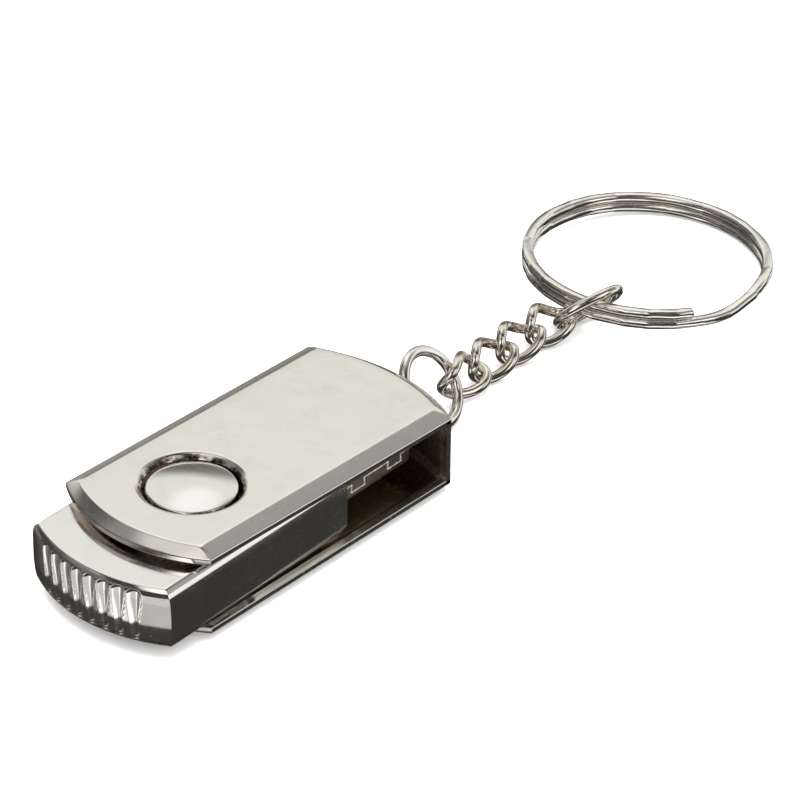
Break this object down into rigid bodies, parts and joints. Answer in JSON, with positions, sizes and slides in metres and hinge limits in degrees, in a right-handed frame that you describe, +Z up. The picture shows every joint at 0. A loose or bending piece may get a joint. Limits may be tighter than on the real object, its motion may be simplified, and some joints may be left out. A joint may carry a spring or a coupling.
{
  "type": "usb flash drive",
  "caption": "USB flash drive with a ribbed metal body that swivels in a U-shaped metal cover, with a curb chain and a split key ring.",
  "frame": {"origin": "on the cover's flat underside, 9 mm from the swivel's axis towards the plug, halfway across the cover", "axes": "+X along the cover from the grip to the plug and the chain, +Z up out of the cover's top plate"},
  "size_m": [0.0931, 0.025, 0.0095],
  "materials": {
    "cover_nickel": "polished nickel plate, lightly scratched",
    "body_chrome": "polished chrome plate",
    "tray_chrome": "polished chrome plate",
    "button_chrome": "mirror polished",
    "plug_steel": "brushed stainless steel",
    "ring_nickel": "polished nickel plate",
    "chain_nickel": "polished nickel plate",
    "plug_plastic": "moulded, satin",
    "contact_gold": "gold plated",
    "carrier_plastic": "moulded, satin",
    "board_green": "solder mask over laminate",
    "chip_black": "moulded epoxy",
    "crystal_steel": "stamped can",
    "capacitor_tan": "ceramic",
    "resistor_black": "ceramic with a glazed top",
    "led_white": "clear epoxy over phosphor"
  },
  "bodies": {
    "cover": {"swivel_cover": "cover_nickel"},
    "drive": {"upper_shell": "body_chrome", "lower_shell": "tray_chrome", "pivot_button_top": "button_chrome", "pivot_button_bottom": "button_chrome", "plug_shell": "plug_steel", "plug_tongue": "plug_plastic", "plug_contact_1": "contact_gold", "plug_contact_2": "contact_gold", "plug_contact_3": "contact_gold", "plug_contact_4": "contact_gold", "circuit_board": "board_green", "flash_memory_chip": "chip_black", "controller_chip": "chip_black", "crystal": "crystal_steel", "capacitor_1": "capacitor_tan", "capacitor_2": "capacitor_tan", "capacitor_3": "capacitor_tan", "capacitor_4": "capacitor_tan", "resistor_1": "resistor_black", "resistor_2": "resistor_black", "status_led": "led_white", "board_carrier": "carrier_plastic"},
    "lanyard_ring": {"lanyard_ring": "ring_nickel"},
    "chain_link_1": {"chain_link_1": "chain_nickel"},
    "chain_link_2": {"chain_link_2": "chain_nickel"},
    "chain_link_3": {"chain_link_3": "chain_nickel"},
    "chain_link_4": {"chain_link_4": "chain_nickel"},
    "chain_link_5": {"chain_link_5": "chain_nickel"},
    "split_ring": {"split_ring": "ring_nickel"}
  },
  "joints": [
    {"name": "drive_swivel", "type": "hinge", "parent": "cover", "child": "drive", "pos_m": [-0.009, 0, 0], "axis": [0, 0, 1], "continuous": true},
    {"name": "lanyard_ring_hinge", "type": "hinge", "parent": "cover", "child": "lanyard_ring", "pos_m": [0.02105, 0, 0.00425], "axis": [0, -1, 0], "range_deg": [-15, 50]},
    {"name": "chain_link_1_hinge", "type": "hinge", "parent": "lanyard_ring", "child": "chain_link_1", "pos_m": [0.02708, 0.00103, 0.00365], "axis": [-0.1535, 0.5733, 0.8048], "range_deg": [-50, 9]},
    {"name": "chain_link_2_hinge", "type": "hinge", "parent": "chain_link_1", "child": "chain_link_2", "pos_m": [0.03053, 0.00197, 0.00286], "axis": [-0.7174, -0.037, 0.6957], "range_deg": [-45, 2]},
    {"name": "chain_link_3_hinge", "type": "hinge", "parent": "chain_link_2", "child": "chain_link_3", "pos_m": [0.03579, 0.00114, 0.00201], "axis": [-0.0449, 0.9781, -0.2034], "range_deg": [-40, 40]},
    {"name": "chain_link_4_hinge", "type": "hinge", "parent": "chain_link_3", "child": "chain_link_4", "pos_m": [0.0401, 0.00135, 0.00183], "axis": [-0.0394, 0.9358, -0.3504], "range_deg": [-45, 40]},
    {"name": "chain_link_5_hinge", "type": "hinge", "parent": "chain_link_4", "child": "chain_link_5", "pos_m": [0.04427, 0.00181, 0.00153], "axis": [-0.4432, 0.8923, -0.086], "range_deg": [-2, 45]},
    {"name": "split_ring_hinge", "type": "hinge", "parent": "chain_link_5", "child": "split_ring", "pos_m": [0.04572, -0.00186, 0.00434], "axis": [0.9247, -0.3254, 0.1974], "range_deg": [0, 40]}
  ]
}
